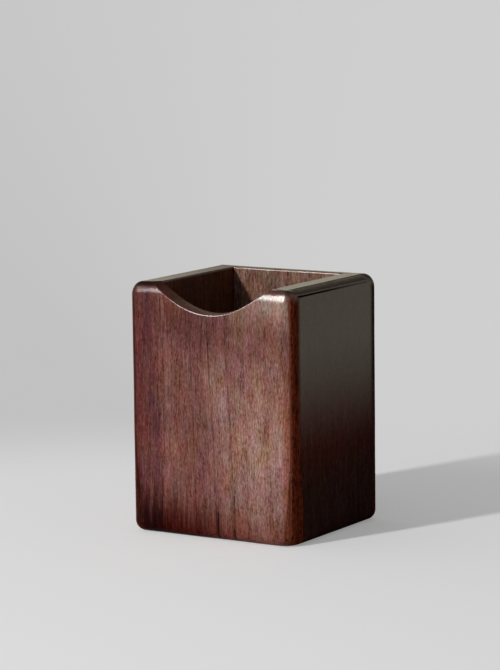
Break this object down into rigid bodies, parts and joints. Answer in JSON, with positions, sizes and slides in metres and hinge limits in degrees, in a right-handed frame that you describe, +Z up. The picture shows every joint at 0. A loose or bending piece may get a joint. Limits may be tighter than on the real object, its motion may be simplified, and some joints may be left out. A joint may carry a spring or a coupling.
{
  "type": "pen holder",
  "caption": "Square upright open box of dark wood that stands on a desk and holds pens, with rounded edges and a shallow dip in the front rim.",
  "frame": {"origin": "on the desk surface, under the middle of the holder", "axes": "+X to the right along the front, +Y from the dipped front to the back, +Z up"},
  "size_m": [0.075, 0.068, 0.1],
  "materials": {
    "wall_wood": "satin oiled dark red-brown hardwood, grain upright",
    "base_wood": "sanded and oiled dark red-brown hardwood",
    "spline_wood": "bare straight-grained hardwood strip"
  },
  "bodies": {
    "root": {"front_board": "wall_wood", "back_board": "wall_wood", "left_board": "wall_wood", "right_board": "wall_wood", "base_board": "base_wood", "front_left_spline": "spline_wood", "front_right_spline": "spline_wood", "back_left_spline": "spline_wood", "back_right_spline": "spline_wood"}
  },
  "joints": []
}
